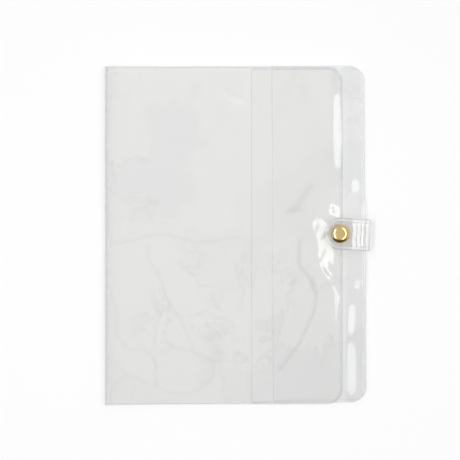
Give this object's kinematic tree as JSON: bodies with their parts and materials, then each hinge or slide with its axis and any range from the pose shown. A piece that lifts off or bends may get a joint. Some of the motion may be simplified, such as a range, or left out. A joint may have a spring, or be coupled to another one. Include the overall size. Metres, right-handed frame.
{
  "type": "portfolio case",
  "caption": "Clear vinyl folio case that folds along its spine, with slip pockets inside both covers and a strap that closes on a domed brass snap.",
  "frame": {"origin": "centre of the back cover's flat underside, where the closed case rests", "axes": "+X from the spine to the fore-edge, +Y up along the spine, +Z out of the resting face towards the front cover"},
  "size_m": [0.1745, 0.222, 0.0116],
  "materials": {
    "clear_vinyl": "clear, flexible, glossy",
    "polished_brass": "polished",
    "spring_steel": "drawn wire"
  },
  "bodies": {
    "back_cover": {"back_cover_panel": "clear_vinyl", "back_pocket": "clear_vinyl", "strap_root_face": "clear_vinyl", "strap_root_lining": "clear_vinyl"},
    "spine": {"spine_fold": "clear_vinyl"},
    "front_cover": {"front_cover_panel": "clear_vinyl", "front_pocket": "clear_vinyl", "snap_stud": "polished_brass", "snap_post": "polished_brass"},
    "strap_loop": {"strap_loop_face": "clear_vinyl", "strap_loop_lining": "clear_vinyl"},
    "strap_tab": {"strap_tab_face": "clear_vinyl", "strap_tab_lining": "clear_vinyl", "snap_cap": "polished_brass", "snap_socket": "polished_brass", "snap_spring": "spring_steel"}
  },
  "joints": [
    {"name": "spine_fold_lower", "type": "hinge", "parent": "back_cover", "child": "spine", "pos_m": [-0.07749, 0, 0.00076], "axis": [0, -1, 0], "range_deg": [0, 88]},
    {"name": "spine_fold_upper", "type": "hinge", "parent": "spine", "child": "front_cover", "pos_m": [-0.07749, 0, 0.00444], "axis": [0, -1, 0], "range_deg": [0, 88]},
    {"name": "strap_bend_lower", "type": "hinge", "parent": "back_cover", "child": "strap_loop", "pos_m": [0.09508, 0.0013, 0.00197], "axis": [0, 1, 0], "range_deg": [0, 85]},
    {"name": "strap_bend_upper", "type": "hinge", "parent": "strap_loop", "child": "strap_tab", "pos_m": [0.09508, 0.0013, 0.00813], "axis": [0, 1, 0], "range_deg": [0, 85]}
  ],
  "couplings": [
    {"joint": "spine_fold_upper", "follows": "spine_fold_lower", "ratio": 1},
    {"joint": "strap_bend_upper", "follows": "strap_bend_lower", "ratio": 1}
  ]
}
